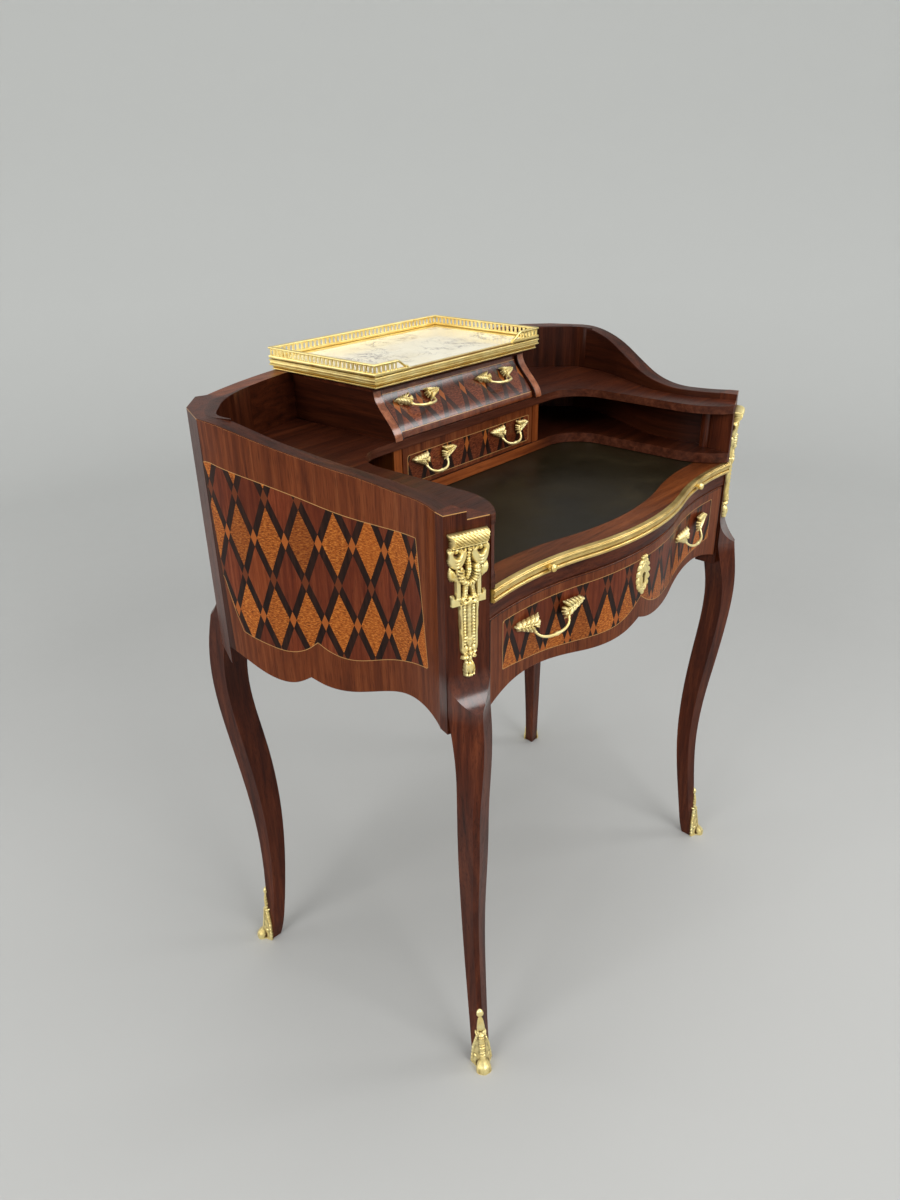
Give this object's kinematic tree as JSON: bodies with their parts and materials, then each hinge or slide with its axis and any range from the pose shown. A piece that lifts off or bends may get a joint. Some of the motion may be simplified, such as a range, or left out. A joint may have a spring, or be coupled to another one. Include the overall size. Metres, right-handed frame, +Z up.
{
  "type": "ladies writing desk",
  "caption": "Ladies writing desk with a curved gallery, pull-out leather writing slide, serpentine frieze drawer, small drawers under a marble tray and cabriole legs.",
  "frame": {"origin": "on the floor under the middle of the desk", "axes": "+Z up, -Y to the front where the drawers open, +X to the right of a person facing +Y"},
  "size_m": [0.808, 0.5469, 0.931],
  "materials": {
    "leg_wood": "polished",
    "side_veneer": "polished veneer",
    "back_veneer": "polished veneer",
    "rail_wood": "polished",
    "inner_wood": "plain",
    "shelf_wood": "polished",
    "bracket_wood": "polished",
    "tray_brass": "gilt, polished",
    "railing_brass": "gilt, polished",
    "marble": "polished stone",
    "slide_wood": "polished",
    "leather": "smooth",
    "moulding_brass": "reeded, polished",
    "knob_brass": "polished",
    "frieze_veneer": "polished parquetry",
    "drawer_veneer": "polished parquetry",
    "drawer_lining": "plain",
    "handle_brass": "gilt casting",
    "gilt_mounts": "gilt casting",
    "screw_steel": "plain",
    "lock_steel": "plain"
  },
  "bodies": {
    "desk": {"front_leg_left": "leg_wood", "front_leg_right": "leg_wood", "back_leg_left": "leg_wood", "back_leg_right": "leg_wood", "front_sabot_left": "gilt_mounts", "front_sabot_right": "gilt_mounts", "back_sabot_left": "gilt_mounts", "back_sabot_right": "gilt_mounts", "corner_mount_left": "gilt_mounts", "corner_mount_right": "gilt_mounts", "corner_mount_pins": "gilt_mounts", "side_panel_left": "side_veneer", "side_panel_right": "side_veneer", "back_panel": "back_veneer", "front_rail": "rail_wood", "slide_bearer_left": "inner_wood", "slide_bearer_right": "inner_wood", "drawer_runner_left": "inner_wood", "drawer_runner_right": "inner_wood", "dust_panel": "inner_wood", "base_board": "shelf_wood", "shelf_board": "shelf_wood", "compartment_post_left": "rail_wood", "compartment_post_right": "rail_wood", "compartment_cheek_left": "rail_wood", "compartment_cheek_right": "rail_wood", "centre_wall_left": "bracket_wood", "centre_wall_right": "bracket_wood", "bracket_wall_left": "bracket_wood", "bracket_wall_right": "bracket_wood", "centre_top": "bracket_wood", "tray_frame": "tray_brass", "marble_top": "marble", "tray_railing": "railing_brass"},
    "writing_slide": {"slide_board": "slide_wood", "slide_leather": "leather", "slide_moulding": "moulding_brass", "slide_knobs": "knob_brass"},
    "frieze_drawer": {"frieze_front": "frieze_veneer", "frieze_side_left": "drawer_lining", "frieze_side_right": "drawer_lining", "frieze_back": "drawer_lining", "frieze_bottom": "drawer_lining", "frieze_handles": "handle_brass", "frieze_handle_screws": "screw_steel", "escutcheon": "handle_brass", "lock_case": "lock_steel"},
    "lock_bolt": {"lock_bolt": "lock_steel"},
    "upper_drawer": {"upper_drawer_front": "drawer_veneer", "upper_drawer_sides": "drawer_lining", "upper_drawer_back": "drawer_lining", "upper_drawer_bottom": "drawer_lining", "upper_drawer_handles": "handle_brass", "upper_drawer_handle_screws": "screw_steel"},
    "lower_drawer": {"lower_drawer_front": "drawer_veneer", "lower_drawer_sides": "drawer_lining", "lower_drawer_back": "drawer_lining", "lower_drawer_bottom": "drawer_lining", "lower_drawer_handles": "handle_brass", "lower_drawer_handle_screws": "screw_steel"}
  },
  "joints": [
    {"name": "writing_slide_pull", "type": "slide", "parent": "desk", "child": "writing_slide", "axis": [0, -1, 0], "range_m": [0, 0.18]},
    {"name": "frieze_drawer_pull", "type": "slide", "parent": "desk", "child": "frieze_drawer", "axis": [0, -1, 0], "range_m": [0, 0.28]},
    {"name": "lock_bolt_throw", "type": "slide", "parent": "frieze_drawer", "child": "lock_bolt", "axis": [0, 0, 1], "range_m": [0, 0.01]},
    {"name": "upper_drawer_pull", "type": "slide", "parent": "desk", "child": "upper_drawer", "axis": [0, -1, 0], "range_m": [0, 0.13]},
    {"name": "lower_drawer_pull", "type": "slide", "parent": "desk", "child": "lower_drawer", "axis": [0, -1, 0], "range_m": [0, 0.13]}
  ]
}
